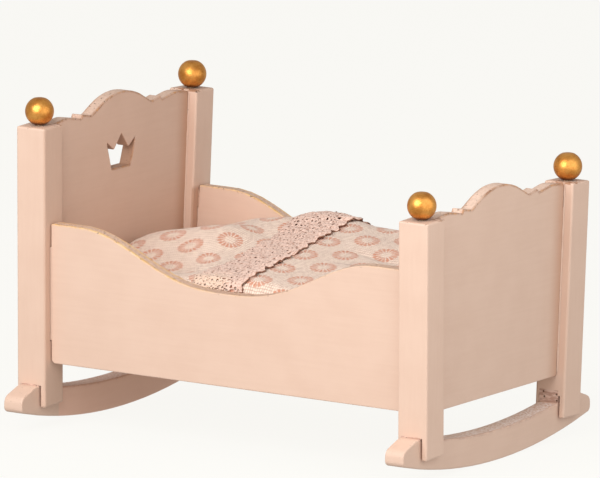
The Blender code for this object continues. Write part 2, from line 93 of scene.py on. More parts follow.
# The floor is a plain warm white sweep, so evenly lit that it carries hardly a shadow. A
# broad soft light stands high in front and a pale card beyond the foot, and the white room
# fills the rest.
FLOOR_WHITE = (0.975, 0.966, 0.932)
FLOOR_HALF = 9.0
SHADOW_SHARE = 0.06
FLOOR_FILL, ROOM_FILL = 0.48, 0.44
KEY_PLACE, KEY_SIZE, KEY_POWER = (0.0, -0.60, 0.39), 0.6, 4.35
CARD_PLACE, CARD_SIZE, CARD_POWER = (0.30, -0.08, 0.12), 0.5, 0.61

bpy.context.scene.view_settings.view_transform = "Standard"


def new_mesh(name, points, faces):
    """A mesh of these points and faces."""
    mesh = bpy.data.meshes.new(name)
    mesh.from_pydata(points, [], faces)
    return mesh


floor_corners = [(x * FLOOR_HALF, y * FLOOR_HALF, 0) for x, y in ((-1, -1), (1, -1), (1, 1), (-1, 1))]
floor = new_object("floor", new_mesh("floor", floor_corners, [(0, 1, 2, 3)]))


class Shade:
    """An output of a node. Arithmetic on it adds Math nodes beside it, one to each sign."""

    def __init__(self, tree, socket):
        self.tree = tree
        self.socket = socket

    def node(self, kind, inputs, output=0, **settings):
        """A node of a kind: its settings, then its sockets by name or number, as values or links."""
        made = self.tree.nodes.new("ShaderNode" + kind)
        for name, value in settings.items():
            setattr(made, name, value)
        for key, value in inputs.items():
            if isinstance(value, Shade):
                self.tree.links.new(value.socket, made.inputs[key])
            else:
                made.inputs[key].default_value = value
        return Shade(self.tree, made.outputs[output])

    def math(self, operation, *operands):
        """A Math node on these operands, in their order."""
        return self.node("Math", dict(enumerate(operands)), operation=operation)

    def __add__(self, other):
        return self.math("ADD", self, other)

    def __sub__(self, other):
        return self.math("SUBTRACT", self, other)

    def __rsub__(self, other):
        return self.math("SUBTRACT", other, self)

    def __mul__(self, other):
        return self.math("MULTIPLY", self, other)

    def __truediv__(self, other):
        return self.math("DIVIDE", self, other)

    def __abs__(self):
        return self.math("ABSOLUTE", self)

    __radd__ = __add__
    __rmul__ = __mul__

    def least(self, other):
        """The smaller of two values."""
        return self.math("MINIMUM", self, other)

    def most(self, other):
        """The larger of two values."""
        return self.math("MAXIMUM", self, other)

    def whole(self):
        """The whole number at or below a value."""
        return self.math("FLOOR", self)

    def fraction(self):
        """What a value is above its whole number."""
        return self.math("FRACT", self)

    def ease(self, low, high):
        """0 below low and 1 above high, with a smooth step between them."""
        return self.node("MapRange", {0: self, 1: low, 2: high, 3: 0.0, 4: 1.0},
                         interpolation_type="SMOOTHSTEP")

    def mix(self, start, end):
        """The colour start where this value is 0, and the colour end where it is 1."""
        return self.node("Mix", {0: self, 6: start, 7: end}, 2, data_type="RGBA")

    def parts(self):
        """The x, y and z of a vector."""
        split = self.node("SeparateXYZ", {0: self})
        return tuple(Shade(self.tree, output) for output in split.socket.node.outputs)

    def noise(self, size, detail=2.0, stretch=(1.0, 1.0, 1.0)):
        """Even noise from 0 to 1 on these coordinates, with blots about size metres across."""
        scaled = self.node("VectorMath", {0: self, 1: tuple(share / size for share in stretch)},
                           operation="MULTIPLY")
        return scaled.node("TexNoise", {"Vector": scaled, "Scale": 1.0, "Detail": detail})

    def chance(self, other):
        """A random value from 0 to 1 for each pair of whole numbers."""
        pair = self.node("CombineXYZ", {0: self, 1: other})
        return pair.node("TexWhiteNoise", {"Vector": pair}, noise_dimensions="3D")

    def bump(self, strength, depth):
        """The normal of a relief whose height is this value, depth metres from 0 to 1."""
        return self.node("Bump", {"Height": self, "Strength": strength, "Distance": depth})


def colour(red, green, blue):
    """A linear colour with its alpha."""
    return (red, green, blue, 1.0)


def new_material(name):
    """A material with its Principled shader, and a start for its nodes."""
    material = bpy.data.materials.new(name)
    material.use_nodes = True
    shader = material.node_tree.nodes["Principled BSDF"]
    return material, shader, Shade(material.node_tree, None)


def feed(shade, shader, name):
    """Leads a value, colour or normal to a socket of a shader."""
    shade.tree.links.new(shade.socket, shader.inputs[name])


def hold(shader, constants):
    """Sets sockets of a shader that are the same all over the surface."""
    for name, value in constants.items():
        shader.inputs[name].default_value = value


floor_paint, floor_shader, start = new_material("white sweep")
hold(floor_shader, {"Base Color": colour(*(share * SHADOW_SHARE for share in FLOOR_WHITE)),
                    "Roughness": 1.0, "Specular IOR Level": 0.0, "Emission Color": colour(*FLOOR_WHITE)})
seen = start.node("LightPath", {})
feed(seen * (1.0 - SHADOW_SHARE - FLOOR_FILL) + FLOOR_FILL, floor_shader, "Emission Strength")
floor.data.materials.append(floor_paint)

world = bpy.data.worlds.new("white room")
world.use_nodes = True
bpy.context.scene.world = world
room_light = world.node_tree.nodes["Background"]
room_seen = Shade(world.node_tree, None).node("LightPath", {})
hold(room_light, {"Color": colour(*FLOOR_WHITE)})
feed(room_seen * (1.0 - ROOM_FILL) + ROOM_FILL, room_light, "Strength")


def soft_light(name, place, size, power):
    """A round light of a size, turned to face the cradle from its place."""
    data = bpy.data.lights.new(name, "AREA")
    data.shape = "DISK"
    data.size = size
    data.energy = power
    back = np.array(place) / np.linalg.norm(place)
    right = np.cross((0, 0, 1), back)
    right = right / np.linalg.norm(right)
    stand(new_object(name, data), right, np.cross(back, right), back, place)


soft_light("soft front light", KEY_PLACE, KEY_SIZE, KEY_POWER)
soft_light("pale card", CARD_PLACE, CARD_SIZE, CARD_POWER)


# The posts, rails, end boards and rockers are wood, sanded and brushed with two coats of
# satin peach paint. Handling has rubbed it through along the top edges: to a yellow line on
# the rails, and to a red-brown one, with chips, on the end boards. Light and shade are also
# painted into the colour: light on the tops of the end boards and on the dusty tops of the
# rockers, shade on the posts' inner faces and on the boards by the rear posts and low at the
# head, and warm light on the head rocker.
PEACH, PEACH_DEEP = colour(0.735, 0.520, 0.408), colour(0.705, 0.490, 0.380)
# The pale peach paints light on the end boards' tops.
PALE_PEACH = colour(0.84, 0.61, 0.49)
RUBBED_YELLOW, BARE_YELLOW = colour(0.76, 0.45, 0.155), colour(0.87, 0.59, 0.28)
RUBBED_BROWN, BARE_ORANGE = colour(0.34, 0.155, 0.080), colour(0.58, 0.27, 0.10)
RUBBED_DULL = colour(0.52, 0.34, 0.27)
# The pale dusty colour is both dusty and painted light, on the rockers' tops.
DUSTY, PALE_DUST_AND_LIGHT = colour(0.55, 0.33, 0.23), colour(0.96, 0.84, 0.80)
# The brown is stains and chips and also painted shade; the warm colour is painted warm light.
STAIN_AND_SHADE, WARM_LIGHT = colour(0.42, 0.21, 0.12), colour(0.98, 0.52, 0.38)
CHIP = colour(0.13, 0.07, 0.04)
BRUSH_SIZE, STROKE_SHARE = 0.0011, 0.06
MOTTLE_SIZE, BREAK_SIZE, BARE_SIZE = 0.011, 0.006, 0.003
GRIT_SIZE, CHIP_SIZE, TOP_CHIP_SIZE = 0.0007, 0.0009, 0.0011
PAINT_DEPTH = 0.0002
EDGE_REACH, RAIL_REACH = 0.0016, 0.0026
POST_LEAN = math.tan(math.radians(1.95))
POST_MIDDLE_X, POST_NEAR = 0.07675, 0.0710
POST_CORNER, BOARD_SHADE_FROM, POST_SHADE_FROM = 0.0398, 0.0310, 0.0370
RAIL_TOP, RUBBED_TO_X = 0.0730, (-0.028, 0.000)
DIP_X, DIP_REACH = 0.004, (0.010, 0.026)
CROWN_HEIGHT, CROWN_HALF = 0.0905, 0.012
LOW_AT_HEAD = (0.050, 0.085)
TOP_SKIN, TOP_CHIPS_TO, TOP_CHIPS_BEFORE = 0.0007, 0.0440, 0.0026


def box_corners(node_name):
    """The eight corners of a CAD node's box, as rows."""
    node = nodes[node_name]
    return np.array([node.matrix_world @ Vector(corner) for corner in node.bound_box])


HEAD_POST_TOP = float(box_corners("head_front_post")[:, 2].max())
FOOT_POST_TOP = float(box_corners("foot_front_post")[:, 2].max())


def peach_paint(name, along, rubbed, bare, top_tint, top_tint_share, chipped, handled=None, stained_and_shaded=None,
                reach=EDGE_REACH, turned=(0.05, 0.30), tinted_where=None, mark_colour=STAIN_AND_SHADE):
    """Peach paint brushed along one axis, rubbed where the rounded normal leaves both faces.

    The edge mask is 4 n^2 (1 - n^2) of the rounded normal's part n across the board, which
    is 1 half way round an edge and 0 on a face. The rub lies where the normal's upward part
    has passed turned, within reach of the edge. The further arguments say how far an upper
    face goes to its tint and how chipped it is, and how much rub, tint and marks lie, from
    the place. The tint is dusty on the rails, painted light on the end boards and both on the
    rockers; the marks are stains and chips, painted shade, and painted warm light.
    """
    material, shader, start = new_material(name)
    place = start.node("TexCoord", {}, "Object")
    stretch = tuple(STROKE_SHARE if axis == along else 1.0 for axis in range(3))
    strokes = place.noise(BRUSH_SIZE, 3.0, stretch)
    mottle = place.noise(MOTTLE_SIZE, 3.0)
    paint = (strokes * 0.4 + mottle * 0.6).ease(0.30, 0.72).mix(PEACH, PEACH_DEEP)
    rounded = start.node("Bevel", {"Radius": reach}, samples=8).parts()
    across, up = rounded[0 if along == 1 else 1], rounded[2]
    edge = across * across * (1.0 - across * across) * 4.0 * up.ease(*turned)
    upper = (1.0 - abs(across)).ease(0.45, 0.95) * up.ease(0.05, 0.30)
    grit = place.noise(GRIT_SIZE, 2.0)
    # Upper faces go to their tint: dusty, and painted light on the end boards and rockers.
    top = upper * top_tint_share
    if tinted_where:
        top = top * tinted_where(*place.parts())
    paint = (top * grit.ease(0.38, 0.60)).mix(paint, top_tint)
    breaks = place.noise(BREAK_SIZE, 3.0).ease(0.36, 0.60)
    rub = edge.ease(0.03, 0.35) * (0.35 + breaks * 0.65) * (0.35 + grit.ease(0.34, 0.52) * 0.65)
    if handled:
        rub = rub * handled(*place.parts())
    worn = (rub * 0.9).mix(paint, place.noise(BARE_SIZE, 4.0).ease(0.45, 0.65).mix(rubbed, bare))
    # Stains, chips, painted shade and painted warm light, laid from the place.
    if stained_and_shaded:
        worn = stained_and_shaded(*place.parts(), across).mix(worn, mark_colour)
    chips = (edge.ease(0.1, 0.5) + upper * 0.8) * place.noise(CHIP_SIZE, 1.0).ease(0.67, 0.72) * chipped
    feed(chips.least(1.0).mix(worn, CHIP), shader, "Base Color")
    feed(0.46 + strokes * 0.10 + rub * 0.15, shader, "Roughness")
    relief = strokes * 0.6 + mottle * 0.4 - chips - rub * 0.4 - top * grit * 0.3
    feed(relief.bump(0.25, PAINT_DEPTH), shader, "Normal")
    hold(shader, {"Specular IOR Level": 0.35})
    return material


def at_head(x):
    """1 on the head's half of the cradle and 0 on the foot's."""
    return (0.0 - x).ease(0.0, 0.001)


def held_at_head(x, y, z):
    """A rail is rubbed along its head half, where a hand rocks the cradle, and little beyond."""
    return 1.60 - x.ease(*RUBBED_TO_X) * 1.15


def between_posts(x, y, z):
    """A rocker grows dusty between its posts, where its top is also painted lighter, as light, and its edges
    are rubbed; its noses stay clean.
    """
    return (POST_CORNER - 0.0003 - abs(y)).ease(0.0, 0.0012)


def warm_light_at_head(x, y, z, across):
    """Painted warm light on the head rocker, between its posts."""
    # Painted warm light.
    return between_posts(x, y, z) * at_head(x) * 0.36


def stained_rail(x, y, z, across):
    """The top of a rail is browner along the lowest part of its dip."""
    return (1.0 - abs(across)).ease(0.2, 0.7) * (1.0 - abs(x - DIP_X).ease(*DIP_REACH)) * 0.28


def crown_walls_and_board_shade(x, y, z, across):
    """The crown's walls are brown; painted shade browns the board by the rear posts and low down at the head.
    """
    crown_high = (CROWN_HALF - abs(z - CROWN_HEIGHT)).ease(0.0, 0.0005)
    crown_wide = (CROWN_HALF - abs(y)).ease(0.0, 0.0005)
    walls = crown_high * crown_wide * at_head(x) * (1.0 - abs(across)).ease(0.15, 0.5)
    # Painted shade by the rear posts.
    corner = (y - z * POST_LEAN).ease(BOARD_SHADE_FROM, POST_CORNER) * 0.5
    # Painted warm shade low on the head board.
    low_down = at_head(x) * (0.29 - z.ease(*LOW_AT_HEAD) * 0.12)
    return (walls * 0.8).most(corner + low_down)


def post_chips_and_shade(x, y, z, across):
    """Painted shade on the posts inside at the head and before the rear rail, and brown chips on their tops.

    A top's chips lie on the 4.4 mm of it next to the board, and from 2.6 mm short of its
    own middle towards the foot.
    """
    # Painted shade before the rear rail, and inside the head posts.
    corner = (RAIL_TOP - z).ease(0.0, 0.002) * (y - z * POST_LEAN).ease(POST_SHADE_FROM, POST_CORNER) * 0.6
    front_of_head = at_head(x) * (0.0 - y).ease(0.0, 0.001) * 0.22
    inner = (POST_NEAR + 0.0008 - abs(x)).ease(0.0, 0.0003) * corner.most(front_of_head)
    at_foot = 1.0 - at_head(x)
    below_top = HEAD_POST_TOP - at_foot * (HEAD_POST_TOP - FOOT_POST_TOP) - z
    on_top = (TOP_SKIN - below_top).ease(0.0, 0.0003)
    beside_board = (TOP_CHIPS_TO - abs(y) + z * POST_LEAN).ease(0.0, 0.0010)
    from_middle = x + POST_MIDDLE_X - at_foot * (POST_MIDDLE_X * 2)
    to_foot = (from_middle + TOP_CHIPS_BEFORE).ease(0.0, 0.0006)
    place = x.node("CombineXYZ", {0: x, 1: y, 2: z})
    patches = place.noise(TOP_CHIP_SIZE, 2.0, (0.5, 1.0, 1.0)).ease(0.47, 0.52)
    return inner.most(on_top * beside_board * to_foot * patches * 0.95)


def finish_nodes(endings, material):
    """Gives a material to the CAD nodes whose names have these endings."""
    for node_name, node in nodes.items():
        if node_name.endswith(endings):
            node.data.materials[0] = material


post_paint = peach_paint(
    "peach paint on the posts", along=2, rubbed=PEACH, bare=PEACH, top_tint=DUSTY, top_tint_share=0.0, chipped=0.8,
    stained_and_shaded=post_chips_and_shade)
rail_paint = peach_paint(
    "peach paint on the rails", along=0, rubbed=RUBBED_YELLOW, bare=BARE_YELLOW, top_tint=DUSTY, top_tint_share=0.75,
    chipped=1.0, handled=held_at_head, stained_and_shaded=stained_rail, reach=RAIL_REACH, turned=(0.50, 0.70))
# The end boards' tops are painted lighter, as light from above.
board_paint = peach_paint(
    "peach paint on the end boards", along=1, rubbed=RUBBED_BROWN, bare=BARE_ORANGE, top_tint=PALE_PEACH,
    top_tint_share=0.9, chipped=0.9, stained_and_shaded=crown_walls_and_board_shade)
# The rockers' tops are dusty and painted lighter, as light; the head rocker is painted warmer, as warm light.
rocker_paint = peach_paint(
    "peach paint on the rockers", along=1, rubbed=RUBBED_DULL, bare=PEACH_DEEP, top_tint=PALE_DUST_AND_LIGHT, top_tint_share=0.95,
    chipped=0.25, handled=between_posts, stained_and_shaded=warm_light_at_head, tinted_where=between_posts, mark_colour=WARM_LIGHT)
finish_nodes("_post", post_paint)
finish_nodes("_rail", rail_paint)
finish_nodes("_panel", board_paint)
finish_nodes("_rocker", rocker_paint)


# The brush left a bead of paint in each corner where a board enters its post, which closes
# the joint. It is the same peach paint, a little less than half a millimetre thick.
BEAD, BEAD_TAPER = 0.00045, 0.001
BEAD_HOLLOW, BEAD_BEHIND = 0.8, 0.7
BEAD_STEPS, BEAD_SIDES = 41, 5
POST_FOOT, RAIL_FOOT = 0.03992, 0.04356
PANEL_NEAR, PANEL_FAR = 0.0744, 0.0791
PANEL_LOW, RAIL_LOW, RAIL_HIGH = 0.0232, 0.0236, 0.0712
HEAD_PANEL_HIGH, FOOT_PANEL_HIGH = 0.1054, 0.0893


def tube_faces(rings, sides):
    """Quads between the rings of a tube, each ring's points in turn, and a face over each end."""
    number = np.arange(rings * sides).reshape(rings, sides)
    ahead = np.roll(number, -1, axis=1)
    quads = np.stack((number[:-1], ahead[:-1], ahead[1:], number[1:]), -1).reshape(-1, 4)
    return quads.tolist() + [number[0][::-1].tolist(), number[-1].tolist()]


def bead_of_paint(x, foot, low, high, side, away_x):
    """Points and faces of a bead up a leaning corner: a hollow quarter round, closed behind it.

    The corner is at x and, at a height z, at side * (foot + z * POST_LEAN) across. The bead's
    size wanders by two sines of the height and goes to nothing as a square root at its ends.
    """
    up = np.linspace(low, high, BEAD_STEPS)
    size = BEAD * (1 + 0.25 * np.sin(up * 900 + x * 300) + 0.15 * np.sin(up * 2300 + foot * 900))
    size = size * np.sqrt(np.clip(np.minimum(up - low, high - up) / BEAD_TAPER, 0.02, 1.0))
    turn = np.linspace(0, math.pi / 2, BEAD_SIDES - 1)
    reach = np.stack((1 - BEAD_HOLLOW * np.sin(turn), 1 - BEAD_HOLLOW * np.cos(turn)), -1)
    reach = np.concatenate((reach, [[-BEAD_BEHIND, -BEAD_BEHIND]]))
    if away_x * side < 0:
        reach = reach[::-1]
    corner = np.stack((np.full(BEAD_STEPS, x), side * (foot + up * POST_LEAN), up), -1)
    points = np.repeat(corner[:, None], BEAD_SIDES, axis=1)
    points[..., :2] += size[:, None, None] * reach[None] * np.array((away_x, -side))
    return points.reshape(-1, 3).tolist(), tube_faces(BEAD_STEPS, BEAD_SIDES)


def as_one(name, shapes):
    """One mesh of several shapes, each given by its points and faces."""
    points, faces = [], []
    for shape_points, shape_faces in shapes:
        faces += [[corner + len(points) for corner in face] for face in shape_faces]
        points += shape_points
    return new_mesh(name, points, faces)


def new_piece(name, mesh, body, material):
    """A finished mesh as an object that rides on a body and takes its finish from a slot."""
    made = new_object(name, mesh)
    mesh.materials.append(material)
    mesh.shade_smooth()
    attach(made, body)
    return made


post_at_floor, rail_at_floor = (foot - FEET_HEIGHT * POST_LEAN for foot in (POST_FOOT, RAIL_FOOT))
beads = []
for side in (-1, 1):
    for end, panel_high in ((-1, HEAD_PANEL_HIGH), (1, FOOT_PANEL_HIGH)):
        for x, foot, low, high, away_x in (
                (end * PANEL_NEAR, post_at_floor, PANEL_LOW, panel_high, -end),
                (end * PANEL_FAR, post_at_floor, PANEL_LOW, panel_high, end),
                (end * POST_NEAR, rail_at_floor, RAIL_LOW, RAIL_HIGH, -end)):
            beads.append(bead_of_paint(x, foot, low, high, side, away_x))
new_piece("paint_in_corners", as_one("paint_in_corners", beads), "frame", post_paint)


# Pale putty fills what the curved rockers leave open of the slots in the posts, and is
# smeared a little up their inner faces. Two panel pins have left holes at each end of it.
# Its colour is painted darker, as the shade it lies in, with paler streaks.
# Both putty colours are painted darker, as shade.
PUTTY, PUTTY_DEEP = colour(0.72, 0.51, 0.42), colour(0.50, 0.30, 0.23)
PUTTY_FROM_X, PUTTY_TO_X = -0.0043, 0.0032
PUTTY_LOW, PUTTY_OUTER_LOW = 0.0133, 0.0150
SLOT_HIGH, SMEAR_HIGH, SMEAR_EDGE = 0.0158, 0.0178, 0.0002
POST_WIDE = 0.01151
PROUD, PROUD_OUTSIDE, SMEAR_IN = 0.00004, 0.00003, 0.0003
STREAK_SIZE, STREAK_SHARE = 0.0009, 0.25
PIN = 0.00042
PINS = ((-0.0026, 0.0170), (-0.0022, 0.0152), (0.0026, 0.0164), (0.0028, 0.0143))


def putty_wedge(middle, side):
    """Points and faces of a wedge in one slot: a five-cornered profile, drawn out along x.

    At a height z the post's inner face lies side * (POST_FOOT + (z - feet) * lean) across,
    and outward is how far each corner of the profile is beyond it.
    """
    heights = np.array((PUTTY_LOW, SMEAR_HIGH, SMEAR_HIGH + SMEAR_EDGE, SLOT_HIGH, PUTTY_OUTER_LOW))
    outside = POST_WIDE + PROUD_OUTSIDE
    outward = np.array((-PROUD, -PROUD, SMEAR_IN, outside, outside))
    y = side * (POST_FOOT + (heights - FEET_HEIGHT) * POST_LEAN + outward)
    points = [(middle + x, *corner) for x in (PUTTY_FROM_X, PUTTY_TO_X) for corner in zip(y, heights)]
    count = len(heights)
    ring = list(range(count))[::side]
    sides = [(a, b, b + count, a + count) for a, b in zip(ring, ring[1:] + ring[:1])]
    return points, sides + [ring[::-1], [corner + count for corner in ring]]


def pin_hole(x, z, pin_x, pin_z):
    """1 where a pin went in, in either end's putty, and 0 more than its radius away."""
    away_x, away_z = abs(x) - (POST_MIDDLE_X + pin_x), z - pin_z
    return 1.0 - (away_x * away_x + away_z * away_z).ease(PIN ** 2 * 0.4, PIN ** 2)


putty_paint, putty_shader, start = new_material("putty under peach paint")
place = start.node("TexCoord", {}, "Object")
x, y, z = place.parts()
streaks = place.noise(STREAK_SIZE, 3.0, (STREAK_SHARE, 1.0, 1.0))
smear = streaks.ease(0.46, 0.60).mix(PUTTY_DEEP, PUTTY)
holes = reduce(Shade.most, [pin_hole(x, z, *pin) for pin in PINS])
feed(holes.mix(smear, CHIP), putty_shader, "Base Color")
feed(0.6 + streaks * 0.2, putty_shader, "Roughness")
feed((streaks - holes).bump(0.5, PAINT_DEPTH), putty_shader, "Normal")

wedges = [putty_wedge(middle, side) for middle in (-POST_MIDDLE_X, POST_MIDDLE_X) for side in (-1, 1)]
putty = new_piece("putty_in_slots", as_one("putty_in_slots", wedges), "frame", putty_paint)
putty.data.shade_flat()


# The four finials are wooden beads turned on a lathe, flat where the dowel enters, and
# brushed with gold paint, a fine metal flake in a clear binder. The colour goes darker
# towards the bottom of each ball, to umber at its foot.
GOLD, GOLD_DEEP, UMBER = colour(0.90, 0.43, 0.10), colour(0.56, 0.20, 0.032), colour(0.16, 0.045, 0.006)
FLAKE_SIZE, CLOUD_SIZE, FLAKE_DEPTH = 0.0005, 0.0035, 0.00015
BALL_STEPS, BALL_SIDES = 33, 64
SHOULDER_ANGLE = math.radians(21.0)
FLAT_SHARE, FLAT_STEP = 0.86, 0.00012

gold_paint, gold_shader, start = new_material("gold flake paint")
place = start.node("TexCoord", {}, "Object")
flake = place.noise(FLAKE_SIZE, 3.0)
cloud = place.noise(CLOUD_SIZE, 2.0)
gold = (flake * 0.35 + cloud * 0.65).ease(0.30, 0.72).mix(GOLD, GOLD_DEEP)
low_down = start.node("Attribute", {}, 2, attribute_name="low_down")
# Darker towards the bottom, to umber.
feed((low_down + (flake - 0.5) * 0.3).ease(0.62, 0.92).mix(gold, UMBER), gold_shader, "Base Color")
feed(0.31 + flake * 0.14, gold_shader, "Roughness")
feed((flake * 0.5 + cloud).bump(0.25, FLAKE_DEPTH), gold_shader, "Normal")
hold(gold_shader, {"Metallic": 0.85})


def mark_points(mesh, name, values):
    """Keeps a value for each point of a mesh, for its material to read."""
    mesh.attributes.new(name, "FLOAT", "POINT").data.foreach_set("value", values.astype(np.float32))


def turned_ball(name, low, high):
    """A bead between two corners: a circle's arc from flat to flat, turned round the upright axis.

    A narrow bevel, FLAT_STEP high, leads from each end of the arc to its flat.
    """
    middle, radius = (low + high) / 2, (high[0] - low[0]) / 2
    height = (high[2] - low[2]) / 2
    rise = np.linspace(SHOULDER_ANGLE, math.pi - SHOULDER_ANGLE, BALL_STEPS)
    wide, up = np.sin(rise) * radius, -np.cos(rise) / math.cos(SHOULDER_ANGLE) * height
    up[0], up[-1] = up[0] + FLAT_STEP, up[-1] - FLAT_STEP
    wide = np.concatenate(([wide[0] * FLAT_SHARE], wide, [wide[-1] * FLAT_SHARE]))
    up = np.concatenate(([-height], up, [height]))
    round_it = np.arange(BALL_SIDES) * math.tau / BALL_SIDES
    points = np.stack((np.outer(wide, np.cos(round_it)), np.outer(wide, np.sin(round_it)),
                       np.outer(up, np.ones(BALL_SIDES))), -1) + middle
    mesh = new_mesh(name, points.reshape(-1, 3).tolist(), tube_faces(len(wide), BALL_SIDES))
    mark_points(mesh, "low_down", np.repeat(np.clip(0.0 - up / height, 0.0, 1.0), BALL_SIDES))
    return mesh


for node_name in list(nodes):
    if node_name.endswith("_ball_finial"):
        corners = box_corners(node_name)
        ball = turned_ball(node_name + "_turned", corners.min(axis=0), corners.max(axis=0))
        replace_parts(new_piece(node_name + "_turned", ball, "frame", gold_paint), node_name)


# The base, its cleats and the finials' dowels are bare wood, planed and left unpainted,
# because the bedding and the balls hide them.
WOOD_PALE, WOOD_DARK = colour(0.66, 0.48, 0.30), colour(0.45, 0.29, 0.15)
GRAIN_SIZE, GRAIN_SHARE = 0.0012, 0.05
FIGURE_SIZE, FIGURE_SHARE = 0.009, 0.12
GRAIN_DEPTH = 0.0002

bare_wood, wood_shader, start = new_material("bare planed wood")
place = start.node("TexCoord", {}, "Object")
grain = place.noise(GRAIN_SIZE, 4.0, (GRAIN_SHARE, 1.0, 1.0))
figure = place.noise(FIGURE_SIZE, 3.0, (FIGURE_SHARE, 1.0, 1.0))
feed((grain * 0.6 + figure * 0.4).ease(0.32, 0.70).mix(WOOD_PALE, WOOD_DARK), wood_shader, "Base Color")
feed(0.62 + grain * 0.15, wood_shader, "Roughness")
feed(grain.bump(0.4, GRAIN_DEPTH), wood_shader, "Normal")
finish_nodes(("_dowel", "_cleat", "base_board"), bare_wood)


# The mattress is two sheets of plain coarse cotton, sewn together round their edge and
# stuffed flat. It lies loose on the base board, and its seam runs round its middle.
HALF_LONG = 0.0738
MATTRESS_BOTTOM, MATTRESS_DEPTH, MATTRESS_CROWN = 0.033774, 0.0110, 0.0012
MATTRESS_PUFF = 0.0006
CORNER_POWER = 7.0
END_SHOULDER, SIDE_SHOULDER = 0.05, 0.16
TURN_FROM, SEAM_AT = 0.776, 0.45
SIDE_FOOT, SIDE_INSET = 0.04565, 0.00297
PAD_COLUMNS, PAD_ROWS = 101, 65
ONE_SHEET = PAD_COLUMNS * PAD_ROWS
TRIAL_SCALE, TRIAL_STEPS = 10.0, 20
TRIAL_CLOTH = {"quality": 6, "mass": 0.25, "tension_stiffness": 12.0, "compression_stiffness": 12.0,
               "shear_stiffness": 6.0, "bending_stiffness": 0.15, "shrink_min": -0.035,
               "use_pressure": True, "uniform_pressure_force": 4.0, "vertex_group_mass": "held"}


def half_width(height):
    """Half the room between the leaning rails at heights above the floor."""
    return SIDE_FOOT + (height - FEET_HEIGHT) * POST_LEAN - SIDE_INSET


def passed(value, start, end):
    """How far values have gone from start to end, from 0 to 1."""
    return np.clip((value - start) / (end - start), 0.0, 1.0)


def mattress_depth(x, y):
    """A thin pad with a slight crown, (1 - x^2)(1 - y^2) high."""
    return MATTRESS_DEPTH + MATTRESS_CROWN * (1 - x ** 2) * (1 - y ** 2)


def drawn_in(u, v):
    """A square's points moved so that its edge is the curve |x|^7 + |y|^7 = 1."""
    most = np.maximum(np.maximum(np.abs(u), np.abs(v)), 1e-9)
    corner = np.abs(u / most) ** CORNER_POWER + np.abs(v / most) ** CORNER_POWER
    reach = np.maximum(corner, 1.0) ** (-1 / CORNER_POWER)
    return u * reach, v * reach, most


def sheet_places(u, v, bottom, depth, upper):
    """The upper or lower sheet of a pad over a square from -1 to 1 each way.

    Out to the shoulder the sheet is level and then it turns down a quarter of an ellipse to
    the seam, SEAM_AT of the depth above the bottom.
    """
    x, y, most = drawn_in(u, v)
    turn = passed(most, TURN_FROM, 1) * math.pi / 2
    shares = []
    for share, shoulder in ((x, END_SHOULDER), (y, SIDE_SHOULDER)):
        level = (1 - shoulder) * np.minimum(most / TURN_FROM, 1.0)
        shares.append(share / most * (level + shoulder * np.sin(turn)))
    x, y = shares
    rise = SEAM_AT + (1 - SEAM_AT) * np.cos(turn) if upper else SEAM_AT * (1 - np.cos(turn))
    height = bottom + depth(x, y) * rise
    return np.stack((x * HALF_LONG, y * half_width(height), height), axis=-1)


def pad_faces():
    """Quads of two sheets of a grid, one above the other, that share the points of their edge."""
    number = np.arange(ONE_SHEET).reshape(PAD_COLUMNS, PAD_ROWS)
    below = number + ONE_SHEET
    below[0], below[-1], below[:, 0], below[:, -1] = number[0], number[-1], number[:, 0], number[:, -1]
    top = np.stack((number[:-1, :-1], number[1:, :-1], number[1:, 1:], number[:-1, 1:]), -1).reshape(-1, 4)
    under = np.stack((below[:-1, :-1], below[:-1, 1:], below[1:, 1:], below[1:, :-1]), -1).reshape(-1, 4)
    return np.concatenate((top, under))


def travelled(places, axis):
    """How far each grid point lies from the middle of its row or column, summed over the steps."""
    steps = np.linalg.norm(np.diff(places, axis=axis), axis=-1)
    total = np.cumsum(np.insert(steps, 0, 0.0, axis=axis), axis=axis)
    return total - np.take(total, [places.shape[axis] // 2], axis=axis)


def blown_up(rest, faces, used, puff):
    """The points after a short cloth simulation with air pressure, moved at most puff each.

    The cloth is TRIAL_SCALE times the size, and its lower sheet is held where it lies.
    """
    count = np.cumsum(used) - 1
    trial_mesh = new_mesh("blown up", (rest[used] * TRIAL_SCALE).tolist(), count[faces].tolist())
    trial = new_object("blown up", trial_mesh)
    held = trial.vertex_groups.new(name="held")
    held.add(count[ONE_SHEET:][used[ONE_SHEET:]].tolist(), 1.0, "REPLACE")
    cloth = trial.modifiers.new("cloth", "CLOTH")
    for name, value in TRIAL_CLOTH.items():
        setattr(cloth.settings, name, value)
    cloth.settings.effector_weights.gravity = 0.0
    cloth.collision_settings.use_collision = False
    cloth.point_cache.frame_start = 1
    cloth.point_cache.frame_end = TRIAL_STEPS
    for step in range(1, TRIAL_STEPS + 1):
        bpy.context.scene.frame_set(step)
    shown = trial.evaluated_get(bpy.context.evaluated_depsgraph_get())
    flat = np.zeros(len(shown.data.vertices) * 3, np.float32)
    shown.data.vertices.foreach_get("co", flat)
    moved = rest.copy()
    moved[used] = flat.reshape(-1, 3) / TRIAL_SCALE
    bpy.data.objects.remove(trial)
    bpy.context.scene.frame_set(1)
    shift = moved - rest
    length = np.linalg.norm(shift, axis=1, keepdims=True)
    return rest + shift * np.minimum(1.0, puff / np.maximum(length, 1e-9))


def lay_cloth(mesh, corners):
    """The UV map cloth, in metres, from the place of each face's corner on the cloth."""
    mesh.uv_layers.new(name="cloth").data.foreach_set("uv", corners.reshape(-1).astype(np.float32))


